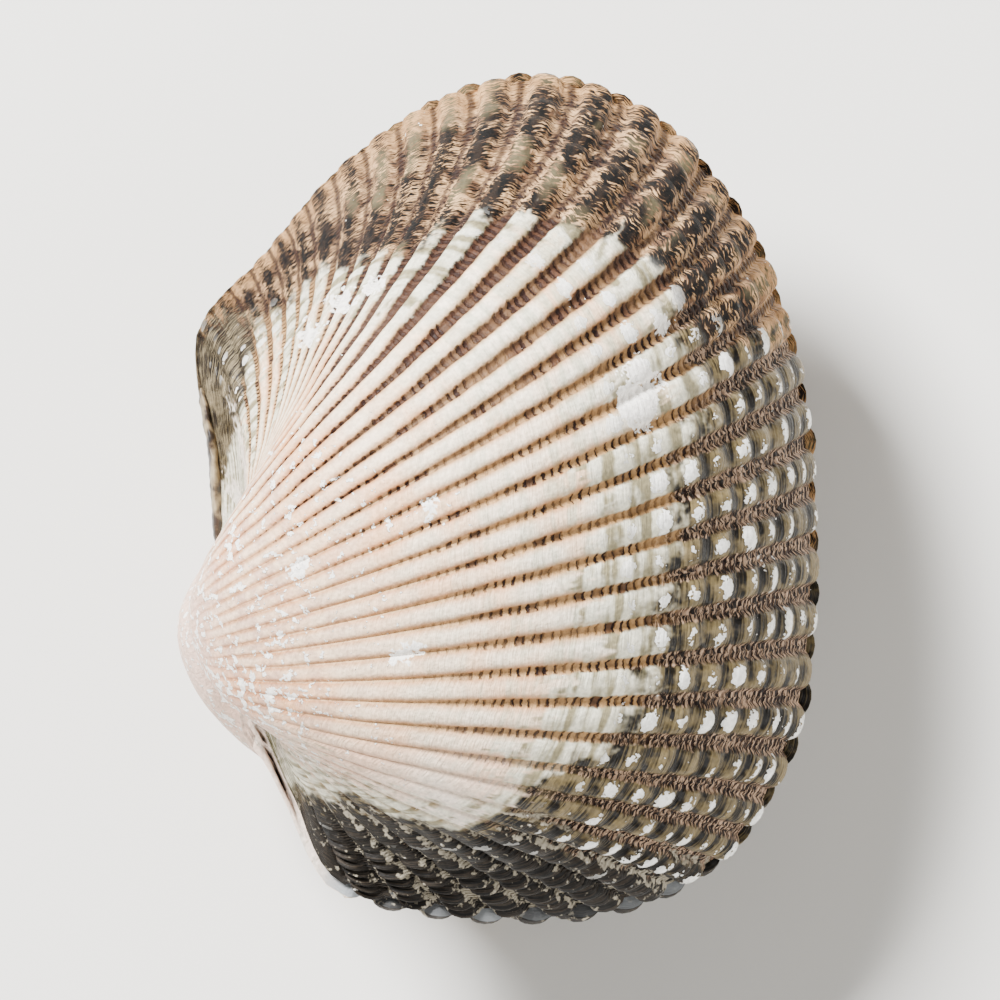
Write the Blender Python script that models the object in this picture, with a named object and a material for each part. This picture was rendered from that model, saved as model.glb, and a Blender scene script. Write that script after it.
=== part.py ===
# A closed pair of ark clam valves with the dark ligament that joins them behind the beaks.
# A valve grows as a real one does: its margin curve, drawn smaller and smaller, turns about a
# coil axis until it ends in the beak. Radial ribs run along the surface from margin to beak.
#
# The pair is first made in its own frame, in millimetres: the valves meet in the plane z = 0,
# +X is ventral (away from the hinge), +Y is posterior and +Z is towards the left valve's back.
# It is then turned to the way the pair lies on a table and moved to stand on z = 0.
import bpy
import bmesh
from math import cos, sin, exp, log, pi, radians
from mathutils import Matrix, Vector

# Driving dimensions, in millimetres and degrees
SHELL_LENGTH = 50.0             # along the hinge direction, over the ribs
VALVE_GAP = 0.30                # the clearance between the two closed valves
RIM_WIDTH = 1.4                 # the valve's edge, seen from inside
HINGE_PLATE_WIDTH = 4.6         # the same edge along the hinge
RIB_HEIGHT = 0.60               # valley to crest at the margin
UMBO_WEAR_FROM = 0.30           # ribs fade out where the valve is smaller than this share
LIP_LEDGE = 0.55                # how far the right valve stands out below the front of the hinge

# The margin of a valve, clockwise from the corner behind the hinge, through the middle of the
# ribs; the ribbed edge first and then the hinge line
MARGIN = (
    (-17.4, 9.4), (-13.4, 14.2), (-9.1, 19.2), (-3.4, 23.2), (2.8, 24.7), (9.2, 22.3),
    (13.9, 17.0), (16.8, 10.2), (18.2, 2.9), (18.4, -5.3), (17.4, -13.2), (13.7, -20.2),
    (7.1, -23.8), (-2.2, -24.2), (-8.9, -22.6), (-11.8, -17.5), (-13.8, -12.9),
    (-16.1, -5.9), (-16.8, 2.0),
)
MARGIN_LENGTH = 49.0            # the tuple's own length along Y, over the smooth curve
FRONT_CORNER = 14               # the place in MARGIN where the ribbed edge ends

# The growth coil
COIL_CENTRE = Vector((-15.0, -8.0, 2.0))
COIL_YAW = -15.6                # the axis leans so that the beaks point forwards
COIL_LIFT = 7.5
TURN_STEADY = 1.04              # radians of turn for each e-fold of growth
TURN_LATE = 1.46                # more turn near the margin, which makes the flanks steep there
LATE_POWER = 5
BEAK_SHARE = 0.07               # size of the smallest ring, against the margin

# How the ribs are spread: the rib number reached at each length along the ribbed edge
RIB_KNOTS = ((0, 0.0), (6, 9.8), (11, 21.6), (16, 37.2), (24, 60.2), (29, 75.5), (33, 86.0),
             (38, 100.1), (39, 103.0))
FINE_RIBS = 11                  # the narrow ribs behind, drawn with fewer facets
FINE_STEPS = (0.0, 0.5)
WIDE_STEPS = (0.0, 0.2, 0.5, 0.8)
HINGE_COLUMNS = 12

OUTER_ROWS = 12
ROW_BIAS = 1.45                 # rows lie closer together near the margin
INNER_SHARES = (1.0, 0.87, 0.72, 0.56, 0.42)
CAVITY_CENTRE = Vector((2.0, -1.5, 2.0))
CAVITY_PULL = 2.6               # extra wall towards the beak

# The ligament, a strip over the seam from the beaks towards the corner
LIGAMENT_FROM = -3.2
LIGAMENT_TO = 6.4
LIGAMENT_WIDTH = 1.5
LIGAMENT_THICKNESS = 0.34
LIGAMENT_STATIONS = 9
LIGAMENT_RECESS = 0.50          # how far both valves' edges stay back to make room for it

# The way the closed pair lies, turned about X and then about Y
REST_ROLL = 6.8
REST_PITCH = 14.7
REST_WEAR = 0.30                # the lowest rib crests are worn level by this much

MILLIMETRE = 0.001
CURVE_SAMPLES = 24              # points on the smooth curve for each point of MARGIN


def remove_everything():
    for thing in list(bpy.data.objects):
        bpy.data.objects.remove(thing, do_unlink=True)


def new_collection(name):
    collection = bpy.data.collections.new(name)
    bpy.context.scene.collection.children.link(collection)
    return collection


def new_material(name, colour, roughness):
    material = bpy.data.materials.new(name)
    material.use_nodes = True
    shader = material.node_tree.nodes["Principled BSDF"]
    shader.inputs["Base Color"].default_value = (*colour, 1.0)
    shader.inputs["Roughness"].default_value = roughness
    shader.inputs["Metallic"].default_value = 0.0
    return material


def ease(value):
    value = max(0.0, min(1.0, value))
    return value * value * (3.0 - 2.0 * value)


def smooth_curve():
    """The margin as a closed smooth curve: points, lengths, and the length at the front corner."""
    count = len(MARGIN)
    scale = (SHELL_LENGTH - RIB_HEIGHT) / MARGIN_LENGTH
    points = []
    for index in range(count):
        p0, p1, p2, p3 = (Vector(MARGIN[(index + step) % count]) for step in (-1, 0, 1, 2))
        for part in range(CURVE_SAMPLES):
            t = part / CURVE_SAMPLES
            point = 0.5 * (2 * p1 + (p2 - p0) * t + (2 * p0 - 5 * p1 + 4 * p2 - p3) * t * t
                           + (3 * p1 - p0 - 3 * p2 + p3) * t ** 3)
            points.append(point * scale)
    points.append(points[0].copy())
    lengths = [0.0]
    for before, after in zip(points, points[1:]):
        lengths.append(lengths[-1] + (after - before).length)
    return points, lengths, lengths[FRONT_CORNER * CURVE_SAMPLES]


CURVE, CURVE_LENGTHS, RIBBED_LENGTH = smooth_curve()


def along_margin(length):
    """The point of the margin at a length from the corner behind the hinge."""
    length = length % CURVE_LENGTHS[-1]
    low, high = 0, len(CURVE) - 1
    while high - low > 1:
        middle = (low + high) // 2
        if CURVE_LENGTHS[middle] <= length:
            low = middle
        else:
            high = middle
    share = (length - CURVE_LENGTHS[low]) / (CURVE_LENGTHS[high] - CURVE_LENGTHS[low])
    return CURVE[low].lerp(CURVE[high], share)


def rib_place(rib):
    """The length along the ribbed edge at which a rib number is reached."""
    for (rib_a, length_a), (rib_b, length_b) in zip(RIB_KNOTS, RIB_KNOTS[1:]):
        if rib <= rib_b:
            share = (rib - rib_a) / (rib_b - rib_a)
            length = length_a + (length_b - length_a) * share
            return length * RIBBED_LENGTH / RIB_KNOTS[-1][1]
    return RIBBED_LENGTH


def columns(shift):
    """Places of the mesh columns: (length along the margin, rib profile from 0 to 1)."""
    places = []
    for rib in range(RIB_KNOTS[-1][0]):
        steps = FINE_STEPS if rib < FINE_RIBS else WIDE_STEPS
        for step in steps:
            number = rib + step
            profile = 1.0 - abs(2.0 * ((number + shift) % 1.0) - 1.0) ** 2.6
            places.append((rib_place(number), profile))
    hinge_length = CURVE_LENGTHS[-1] - RIBBED_LENGTH
    for step in range(HINGE_COLUMNS):
        places.append((RIBBED_LENGTH + hinge_length * step / HINGE_COLUMNS, 0.5))
    return places


COIL_AXIS = Vector((cos(radians(COIL_LIFT)) * sin(radians(COIL_YAW)),
                    cos(radians(COIL_LIFT)) * cos(radians(COIL_YAW)),
                    sin(radians(COIL_LIFT))))


def grown(place, share):
    """Where a margin point lay when the valve was this share of its size."""
    turn = TURN_STEADY * log(1.0 / share) + TURN_LATE * (1.0 - share ** LATE_POWER) / LATE_POWER
    offset = Vector((place.x, place.y, 0.0)) - COIL_CENTRE
    return COIL_CENTRE + share * (Matrix.Rotation(-turn, 3, COIL_AXIS) @ offset)


def outward(length, share):
    """The smooth surface's outward direction, from points close by."""
    near, far = along_margin(length - 0.2), along_margin(length + 0.2)
    across = grown(far, share) - grown(near, share)
    place = along_margin(length)
    inward = grown(place, share * 0.985) - grown(place, share)
    return inward.cross(across).normalized()


def outer_share(row):
    return exp(log(BEAK_SHARE) * (row / OUTER_ROWS) ** ROW_BIAS)


def hinge_weight(length):
    """1 along the hinge line and 0 along the ribbed edge, eased at both corners."""
    if length <= RIBBED_LENGTH:
        return 0.0
    hinge_length = CURVE_LENGTHS[-1] - RIBBED_LENGTH
    share = (length - RIBBED_LENGTH) / hinge_length
    return ease(share / 0.2) * ease((1.0 - share) / 0.2)


def ledge(length):
    """1 along the front part of the hinge line, where the right valve stands out."""
    hinge_length = CURVE_LENGTHS[-1] - RIBBED_LENGTH
    share = (length - RIBBED_LENGTH) / hinge_length
    return ease(share / 0.08 + 0.6) * ease((0.45 - share) / 0.15) if share > -0.05 else 0.0


def recess(length):
    """1 along the part of the hinge line that the ligament covers."""
    share = (length - RIBBED_LENGTH) / (CURVE_LENGTHS[-1] - RIBBED_LENGTH)
    return ease((share - 0.50) / 0.07) * ease((1.0 - share) / 0.07)


def valve_mesh(name, side, shift, lip):
    """One valve as a closed mesh. side is 1 for the left valve and -1 for the right one."""
    mesh = bmesh.new()
    places = columns(shift)
    count = len(places)
    middle = Vector((1.0, -1.0))

    def add(point):
        lifted = side * (max(point.z, 0.0) + VALVE_GAP / 2)
        return mesh.verts.new((point.x, point.y, lifted))

    outer = []
    for row in range(OUTER_ROWS + 1):
        share = outer_share(row)
        wear = ease(share / UMBO_WEAR_FROM)
        ring = []
        for length, profile in places:
            place = along_margin(length)
            stand_out = lip * ledge(length) - LIGAMENT_RECESS * recess(length)
            place = place + (place - middle).normalized() * stand_out
            point = grown(place, share)
            point = point + outward(length, share) * RIB_HEIGHT * share * wear * (profile - 0.5)
            if row == 0:
                point.z = 0.0
            ring.append(add(point))
        outer.append(ring)

    inner = []
    for share in INNER_SHARES:
        ring = []
        for length, _ in places[::2]:
            place = along_margin(length)
            width = RIM_WIDTH + (HINGE_PLATE_WIDTH - RIM_WIDTH) * hinge_weight(length)
            point = grown(place + (middle - place).normalized() * width, share)
            pull = (CAVITY_CENTRE - point).normalized() * CAVITY_PULL * (1.0 - share)
            point = point + pull
            if share == 1.0:
                point.z = 0.0
            ring.append(add(point))
        inner.append(ring)

    def skin(ring_a, ring_b):
        for index in range(len(ring_a)):
            after = (index + 1) % len(ring_a)
            mesh.faces.new((ring_a[index], ring_a[after], ring_b[after], ring_b[index]))

    for ring_a, ring_b in zip(outer, outer[1:]):
        skin(ring_a, ring_b)
    mesh.faces.new(outer[-1])
    for ring_a, ring_b in zip(inner, inner[1:]):
        skin(ring_b, ring_a)
    mesh.faces.new(inner[-1])
    half = len(inner[0])
    for index in range(half):
        after = (index + 1) % half
        first, second, third = (outer[0][(2 * index + step) % count] for step in range(3))
        mesh.faces.new((inner[0][index], second, first))
        mesh.faces.new((inner[0][index], third, second))
        mesh.faces.new((inner[0][index], inner[0][after], third))
    bmesh.ops.triangulate(mesh, faces=[face for face in mesh.faces if len(face.verts) > 3])
    bmesh.ops.recalc_face_normals(mesh, faces=mesh.faces)
    data = bpy.data.meshes.new(name)
    mesh.to_mesh(data)
    mesh.free()
    return data


def ligament_mesh(name):
    """A strip with a flat inside and a rounded back, swept along the seam behind the beaks."""
    mesh = bmesh.new()
    rings = []
    clear = VALVE_GAP + 0.02 - LIGAMENT_RECESS
    for station in range(LIGAMENT_STATIONS):
        part = station / (LIGAMENT_STATIONS - 1)
        height = LIGAMENT_FROM + (LIGAMENT_TO - LIGAMENT_FROM) * part
        seam = min((point for point in CURVE if point.x < -10), key=lambda p: abs(p.y - height))
        taper = 0.45 + 0.55 * sin(pi * part) ** 0.5
        half = LIGAMENT_WIDTH / 2 * taper
        back = LIGAMENT_THICKNESS * taper
        section = ((0.0, -half), (0.0, half), (-0.7 * back, 0.7 * half), (-back, 0.0),
                   (-0.7 * back, -0.7 * half))
        rings.append([mesh.verts.new((seam.x - clear + x, seam.y, z)) for x, z in section])
    for ring_a, ring_b in zip(rings, rings[1:]):
        for index in range(len(ring_a)):
            after = (index + 1) % len(ring_a)
            mesh.faces.new((ring_a[index], ring_a[after], ring_b[after], ring_b[index]))
    mesh.faces.new(rings[0])
    mesh.faces.new(rings[-1])
    bmesh.ops.recalc_face_normals(mesh, faces=mesh.faces)
    data = bpy.data.meshes.new(name)
    mesh.to_mesh(data)
    mesh.free()
    return data


def settle(pieces):
    """Turn the pieces to the way they lie, wear the lowest crests level and stand them on z = 0."""
    turn = Matrix.Rotation(radians(REST_PITCH), 4, "Y") @ Matrix.Rotation(radians(REST_ROLL), 4, "X")
    for piece in pieces:
        piece.data.transform(Matrix.Scale(MILLIMETRE, 4) @ turn)
    lowest = min(vertex.co.z for piece in pieces for vertex in piece.data.vertices)
    worn = lowest + REST_WEAR * MILLIMETRE
    for piece in pieces:
        for vertex in piece.data.vertices:
            vertex.co.z = max(vertex.co.z, worn)
    corners = [vertex.co for piece in pieces for vertex in piece.data.vertices]
    low = Vector(min(corner[axis] for corner in corners) for axis in range(3))
    high = Vector(max(corner[axis] for corner in corners) for axis in range(3))
    shift = Vector((-(low.x + high.x) / 2, -(low.y + high.y) / 2, -low.z))
    for piece in pieces:
        piece.data.transform(Matrix.Translation(shift))
        piece.data.set_sharp_from_angle(angle=radians(50))


def main():
    remove_everything()
    collection = new_collection("ark_clam_shell")
    shell = new_material("ribbed_shell", (0.52, 0.42, 0.35), 0.45)
    horn = new_material("dark_ligament", (0.02, 0.015, 0.012), 0.5)
    meshes = (
        ("left_valve", valve_mesh("left_valve", 1, 0.0, 0.0), shell),
        ("right_valve", valve_mesh("right_valve", -1, 0.5, LIP_LEDGE), shell),
        ("ligament", ligament_mesh("ligament"), horn),
    )
    pieces = []
    for name, data, material in meshes:
        data.materials.append(material)
        data.shade_smooth()
        piece = bpy.data.objects.new(name, data)
        collection.objects.link(piece)
        pieces.append(piece)
    settle(pieces)


main()
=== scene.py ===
# Ark clam shell: a closed pair of ribbed valves that lies on its right valve.
# The imported model's parts are hidden; the size and place given below were worked out from it. Both
# valves are grown again here by the same spiral, finely enough for rounded ribs, barrel swellings and
# ladder rungs, and the ligament is reshaped.
import bpy
import numpy as np
from functools import partial
from math import radians
from mathutils import Matrix, Vector


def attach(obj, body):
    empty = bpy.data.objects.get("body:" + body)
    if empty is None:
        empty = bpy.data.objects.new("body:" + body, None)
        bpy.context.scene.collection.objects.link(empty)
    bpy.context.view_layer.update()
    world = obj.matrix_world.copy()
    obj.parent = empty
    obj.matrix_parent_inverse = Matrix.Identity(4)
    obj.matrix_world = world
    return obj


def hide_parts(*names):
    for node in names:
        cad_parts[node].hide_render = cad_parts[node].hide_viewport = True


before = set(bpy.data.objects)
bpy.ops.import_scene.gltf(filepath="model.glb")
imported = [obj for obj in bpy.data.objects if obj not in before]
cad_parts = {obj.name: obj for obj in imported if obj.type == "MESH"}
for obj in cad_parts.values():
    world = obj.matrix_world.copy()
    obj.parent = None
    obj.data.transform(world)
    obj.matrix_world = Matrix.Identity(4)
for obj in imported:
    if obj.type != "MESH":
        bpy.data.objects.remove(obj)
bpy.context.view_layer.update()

mm = 0.001

# Growth, in the pair's own frame: the valves meet in z = 0, +x is ventral, +y is the rear end
coil = {
    "margin": (
        (-17.4, 9.4), (-13.4, 14.2), (-9.1, 19.2), (-3.4, 23.2), (2.8, 24.7), (9.2, 22.3),
        (13.9, 17.0), (16.8, 10.2), (18.2, 2.9), (18.4, -5.3), (17.4, -13.2), (13.7, -20.2),
        (7.1, -23.8), (-2.2, -24.2), (-8.9, -22.6), (-11.8, -17.5), (-13.8, -12.9),
        (-16.1, -5.9), (-16.8, 2.0),
    ),
    "marginScale": 49.4 / 49.0,
    "frontCorner": 14,  # the place in the margin where the ribbed edge ends
    "curveSteps": 24,
    "centre": (-15.0, -8.0, 2.0),
    "yaw": -15.6,
    "lift": 7.5,
    "steadyTurn": 1.04,
    "lateTurn": 1.46,
    "latePower": 5,
    # rib number against mm along the ribbed edge
    "ribNumbers": (0, 6, 11, 16, 24, 29, 33, 38, 39),
    "ribPlaces": (0.0, 9.8, 21.6, 37.2, 60.2, 75.5, 86.0, 100.1, 103.0),
    "measuringRib": 24,  # growth in mm is measured along this one
    "tableSteps": 600,
    "tableEnd": 0.03,  # share of its size that the table goes back to
}

# How the pair lies on the floor, in degrees and mm
lying = {"roll": 6.8, "pitch": 14.7, "shift": (0.670, -0.158, 16.076)}


def ease(value):
    value = np.clip(value, 0.0, 1.0)
    return value * value * (3.0 - 2.0 * value)


def marginCurve():
    # a smooth closed curve through the margin's points
    count = len(coil["margin"])
    corners = np.array(coil["margin"]) * coil["marginScale"]
    share = np.arange(coil["curveSteps"])[:, None] / coil["curveSteps"]
    stretches = []
    for index in range(count):
        a, b, c, d = (corners[(index + step) % count] for step in (-1, 0, 1, 2))
        stretches.append(0.5 * (2 * b + (c - a) * share + (2 * a - 5 * b + 4 * c - d) * share ** 2
                                + (3 * b - a - 3 * c + d) * share ** 3))
    points = np.concatenate(stretches + [stretches[0][:1]])
    lengths = np.concatenate([[0.0], np.cumsum(np.linalg.norm(np.diff(points, axis=0), axis=1))])
    return points, lengths


curve, curveLengths = marginCurve()
ribbedLength = curveLengths[coil["frontCorner"] * coil["curveSteps"]]
hingeLength = curveLengths[-1] - ribbedLength


def alongMargin(length):
    length = np.mod(length, curveLengths[-1])
    return np.stack([np.interp(length, curveLengths, curve[:, axis]) for axis in (0, 1)], axis=-1)


def ribPlace(number):
    place = np.interp(number, coil["ribNumbers"], coil["ribPlaces"])
    return place * ribbedLength / coil["ribPlaces"][-1]


def grown(place, share):
    # where a point of the margin lay when the valve was this share of its size
    lift, yaw = radians(coil["lift"]), radians(coil["yaw"])
    axis = np.array((np.cos(lift) * np.sin(yaw), np.cos(lift) * np.cos(yaw), np.sin(lift)))
    late = coil["latePower"]
    turn = coil["steadyTurn"] * np.log(1.0 / share) + coil["lateTurn"] * (1.0 - share ** late) / late
    centre = np.array(coil["centre"])
    arm = np.concatenate([place, np.zeros(place.shape[:-1] + (1,))], axis=-1) - centre
    turn, share = -turn[..., None], share[..., None]
    turned = (arm * np.cos(turn) + np.cross(axis, arm) * np.sin(turn)
              + axis * (arm @ axis)[..., None] * (1.0 - np.cos(turn)))
    return centre + share * turned


def growthTable():
    # mm from the margin, along the measuring rib, for each share
    shares = np.linspace(1.0, coil["tableEnd"], coil["tableSteps"])
    place = alongMargin(ribPlace(np.full(coil["tableSteps"], coil["measuringRib"])))
    track = grown(place, shares)
    distance = np.concatenate([[0.0], np.cumsum(np.linalg.norm(np.diff(track, axis=0), axis=1))])
    return shares, distance


tableShares, tableDistance = growthTable()

latticeSeed, latticeSize = 11, 40
lattice = np.random.default_rng(latticeSeed).random((latticeSize,) * 3)


def lumps(points, size, seed):
    # smooth noise from -1 to 1, with lumps of about this size
    grid = points / size + seed
    cell = np.floor(grid).astype(int)
    part = ease(grid - cell)
    total = np.zeros(points.shape[:-1])
    for corner in np.ndindex(2, 2, 2):
        weight = np.prod(np.where(np.array(corner) == 1, part, 1.0 - part), axis=-1)
        i, j, k = np.moveaxis((cell + np.array(corner)) % latticeSize, -1, 0)
        total += weight * lattice[i, j, k]
    return 2.0 * total - 1.0


def insideOf(plan, outline):
    # signed distance to a closed outline in the plan, positive inside
    outline = np.array(outline)
    nearest = np.full(plan.shape[:-1], 1e9)
    crossings = np.zeros(plan.shape[:-1], int)
    x, y = plan[..., 0], plan[..., 1]
    for start, end in zip(outline, np.roll(outline, -1, axis=0)):
        run = end - start
        share = np.clip(((plan - start) @ run) / (run @ run), 0.0, 1.0)
        nearest = np.minimum(nearest, np.linalg.norm(plan - start - share[..., None] * run, axis=-1))
        level = (start[1] > y) != (end[1] > y)
        safe = run[1] if abs(run[1]) > 1e-9 else 1e-9
        crossings += level & (x < start[0] + (y - start[1]) * run[0] / safe)
    return np.where(crossings % 2 == 1, nearest, -nearest)


def settle(points):
    # from the pair's frame in mm to the world in metres
    turn = (Matrix.Rotation(radians(lying["pitch"]), 3, "Y")
            @ Matrix.Rotation(radians(lying["roll"]), 3, "X"))
    return (points @ np.array(turn).T + np.array(lying["shift"])) * mm


weldDistance = 0.002 * mm
smoothAngle = 70.0  # degrees


def gridPiece(name, places, growthMap, fields):
    # a grid whose first and last rows close at poles and whose side edges meet in a seam
    rows, columns = places.shape[0] - 1, places.shape[1] - 1
    bpy.ops.object.select_all(action="DESELECT")
    bpy.ops.mesh.primitive_grid_add(x_subdivisions=columns, y_subdivisions=rows, size=1)
    piece = bpy.context.object
    piece.name = piece.data.name = name
    mesh = piece.data
    flat = np.empty(len(mesh.vertices) * 3)
    mesh.vertices.foreach_get("co", flat)
    flat = flat.reshape(-1, 3)
    column = np.rint((flat[:, 0] + 0.5) * columns).astype(int)
    row = np.rint((flat[:, 1] + 0.5) * rows).astype(int)
    mesh.vertices.foreach_set("co", places[row, column].ravel())
    corner = np.empty(len(mesh.loops), int)
    mesh.loops.foreach_get("vertex_index", corner)
    sheet = mesh.uv_layers[0]
    sheet.name = "growth"
    sheet.data.foreach_set("uv", growthMap[row[corner], column[corner]].ravel())
    for title, values in fields.items():
        attribute = mesh.attributes.new(title, "FLOAT", "POINT")
        attribute.data.foreach_set("value", values[row, column].astype(np.float32))
    bpy.ops.object.mode_set(mode="EDIT")
    bpy.ops.mesh.select_all(action="SELECT")
    bpy.ops.mesh.remove_doubles(threshold=weldDistance)
    bpy.ops.mesh.normals_make_consistent(inside=False)
    bpy.ops.object.mode_set(mode="OBJECT")
    bpy.ops.object.shade_smooth_by_angle(angle=radians(smoothAngle))
    return piece


# The valves; a pair of numbers with no other note is a soft step, from nothing to all
valve = {
    # mesh columns across a wide rib, close together on its walls, and across a narrow one behind
    "ribColumns": (0, 0.06, 0.12, 0.18, 0.25, 0.35, 0.5, 0.65, 0.75, 0.82, 0.88, 0.94),
    "fineColumns": (0, 0.14, 0.28, 0.5, 0.72, 0.86),
    "fineRibs": 11,
    "hingeSteps": 34,
    "hingeLines": 20,  # rib numbers run on along the hinge, where there are no ribs
    "rungRow": 0.19,  # mm between mesh rows where rungs and barrels show
    "rungZone": 22,  # mm from the margin
    "smoothRow": 0.4,  # mm between rows nearer the beak
    "tipShare": 0.035,
    "gap": 0.3,
    "middle": (1, -1),  # which the rim draws in towards
    "sideStep": 0.2, "backStep": 0.985,  # mm and share that the slope is taken over
    # ribs: heights, and where they come in, by rib number and by share of the left or right valve
    "ribHeight": 0.62,
    "fineRibHeight": 0.26,
    "ribsRise": (5, 13),
    "ribsFade": {1: (0, 0.52), -1: (0.2, 0.5)},
    "frontWear": (0.5, 0.75),  # of the height and of the grooves' colours
    "frontWorn": ((27.5, 31.5), (17, 24)),  # in rib numbers and mm from the margin
    # where a groove starts across the rib, against mm from the margin
    "grooveStart": ((0, 0.52), (12, 0.53), (18, 0.62), (27, 0.63), (36, 0.78), (46, 0.9)),
    "rearGroove": 0.12,  # how much sooner behind
    "rearGrooveRibs": ((20, 13), (7, 11)), "rearGrooveZone": (36, 24),
    "ribFoot": 0.24,  # the wall ends this much further across
    "ribEdge": (2.2, 3),  # squareness of its crest at the margin and by the beak
    "ribRound": 0.75,
    "crest": (0.8, 0.45), "trough": (0.62, 0.82),  # across the rib
    "rungRows": 3,  # mesh rows from rung to rung
    "rungShift": 2,  # rows from one groove's rungs to the next one's
    "rungDepth": 0.1,
    "rungPlaces": ((6, 11), (22, 19)),
    "barrel": 2.3,  # mm from swelling to swelling
    "barrelStray": 0.22,
    "barrelHeight": 0.38,
    "barrelRound": 1.4,
    "barrelPlaces": ((9, 14), (20, 11)),
    "checks": ((3.9, 0.1), (9.3, 0.13), (13.4, 0.09), (19, 0.12)),  # growth stops: mm, height
    "checkStray": 0.25,
    "checkSteps": ((0, 0.3), (3.2, 0)),
    "lumps": ((6, 0.16), (2.2, 0.05), (0.8, 0.025)),  # size and height, mm
    "lumpsRise": (0, 0.25),  # share of the valve
    "lumpSeed": 3.7, "diceSeed": 5,
    # the grooves' colours end in the smooth beak: mm from the margin, and how much of them
    "smoothFrom": {1: (44, 49), -1: (34, 40)}, "smoothBy": {1: 0.7, -1: 1.0},
    # mm from the margin to the last brown beads, and how much further by rib number
    "ladder": 26,
    "ladderMore": ((12, (24, 15)), (-7, (28, 32))),
    "ladderFade": (9, 0),
    "tooth": 0.3,  # how far rib ends reach across the seam
    "toothRibs": (2, 10), "toothRoot": (0.95, 1),
    "toothFade": 0.6,  # how much of it is gone at the rim's inner edge
    "rimSteps": (0.05, 0.15, 0.28, 0.42, 0.56, 0.7, 0.84, 0.98, 1.15),
    "rimWidth": 1.4,
    "hingePlate": 4.6,
    "bowl": (0.96, 0.9, 0.82, 0.73, 0.64, 0.56, 0.49, 0.42),
    "bowlCentre": (2, -1.5, 2),
    "bowlPull": 2.6,
    "ledge": 0.55,  # how far the right valve stands out at the front of the hinge
    "bulge": (0.33, 0.05, 0.75),  # and further at its rear end: share of the hinge, half width, mm
    "lip": 0.34,  # how far the left valve's front margin stays back from the right one
    "lipPlaces": ((28.5, 0), (31.5, 0.6), (34, 1), (35.4, 0.8), (36.2, 0.35), (37.2, 0.7), (39, 0.6)),
    "recess": 0.14,  # how far both edges stay back where the ligament lies
    # in shares of the hinge, from the front
    "ledgeEnds": ((-0.048, 0.032), (0.45, 0.3)), "recessEnds": ((0.5, 0.57), (1, 0.93)),
    "slitEnds": ((0.12, 0.2), (0.36, 0.31)), "plateEnds": ((0, 0.2), (1, 0.8)),
    "lipFade": (0.05, 0), "ribbedFade": (0, -0.03), "hornFrom": (0.42, 0.5),
    "slitDepth": 0.9,
    "slitOut": 0.1,  # from the left valve's edge
    "slitWall": (0.216, 0.036),  # from the slit's middle
    "slitTop": (0.75, 0.25),
    # the rim: stained along its outer edge, mm, and pearly on some ribs in front
    "stainedRim": (1.6, 0.8), "pearlRibs": (30, 32), "pearlEnd": 0.03, "pearlDice": (0, 0.625),
    # the growth coordinate goes on over the beak's tip, and over the rim and the bowl, mm
    "tipGrowth": 0.5, "innerGrowth": (-0.2, -6),
}

# Zones of the left valve in the plan as the camera sees it, in mm; the right valve mirrors them
zones = {
    "lean": (0.07, 0.1),  # x and y in the plan go up by this for each mm of height
    "pale": ((-14.8, 3), (-14, 7.6), (-9.8, 11.6), (-4.5, 12.8), (-1, 15.1), (3.4, 15.6),
             (8.6, 12.6), (9.2, 9), (8.9, 5.8), (7.4, 2.3), (6.9, -1.2), (6, -5.9), (5.4, -10.5),
             (3.6, -14.6), (0.1, -17.5), (-2.2, -18.8), (-6, -17.8), (-9.2, -16.1), (-11.5, -14.9),
             (-13.7, -14.5), (-19, -13), (-21, -6), (-16.8, -2.5), (-15.6, 0.5)),
    "fibre": ((-17.9, 7.4), (-15.9, 7.4), (-14.1, 8.7), (-9.5, 11.5), (-4.5, 12.5), (-1, 15),
              (5.4, 13.5), (9.5, 11.6), (11.8, 9.3), (20, 9.9), (15.3, 19.5), (8.3, 27),
              (-3.9, 27), (-19.9, 12.6)),
    "front": ((-13.3, -17.9), (-9.8, -17.2), (-5.7, -18.2), (-1.6, -19), (1.3, -18.2),
              (4.5, -20), (8.9, -20.7), (13, -21.7), (11.8, -28), (-5.7, -28), (-16.4, -22.2)),
    "corner": ((-19.9, 9.9), (-15.5, 10.9), (-12.1, 8.7), (-13.6, 5.8), (-15.3, 2.3), (-16.5, -2.1),
               (-19.9, -2.1)),
    # white patches: place and radius
    "chalk": ((8.3, 5.6, 1.45), (8.2, 7.1, 0.8), (-3.9, -0.6, 0.4), (-5.1, -8.8, 0.7), (-8.9, 11.5, 0.7),
              (-10.9, 9.6, 0.6), (-7.1, 12.4, 0.45), (9.5, 10.5, 0.5), (-11.5, -4.1, 0.45)),
    # width of the glassy stretch beyond the pale zone, mm, and its wider parts: by how much, steps
    # in x and in y, and the share lost behind
    "glassWidth": 1,
    "glassParts": ((4.6, (2, 9), (-18, -14), 0.75), (1.6, (4, -2), (6, 11), 0),
                   (2, (-8, -11), (-10, -13), 0)),
    "glassBehind": (5, 10),
    "paleLedge": 3,  # the right valve's ledge is bleached too
    "marginCoat": 2.2,  # and it has its coat along the margin, mm, up to these ribs
    "marginCoatEnd": (23, 26),
    "rear": ((21, 13), (5, 10)),  # ribs with narrow, stained grooves
}
far = 9.0  # mm, beyond every soft edge


def rise(value, span):
    # a soft step: 0 at the span's first number, 1 at its second
    return ease((value - span[0]) / (span[1] - span[0]))


def within(value, spans):
    return rise(value, spans[0]) * rise(value, spans[1])


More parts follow.
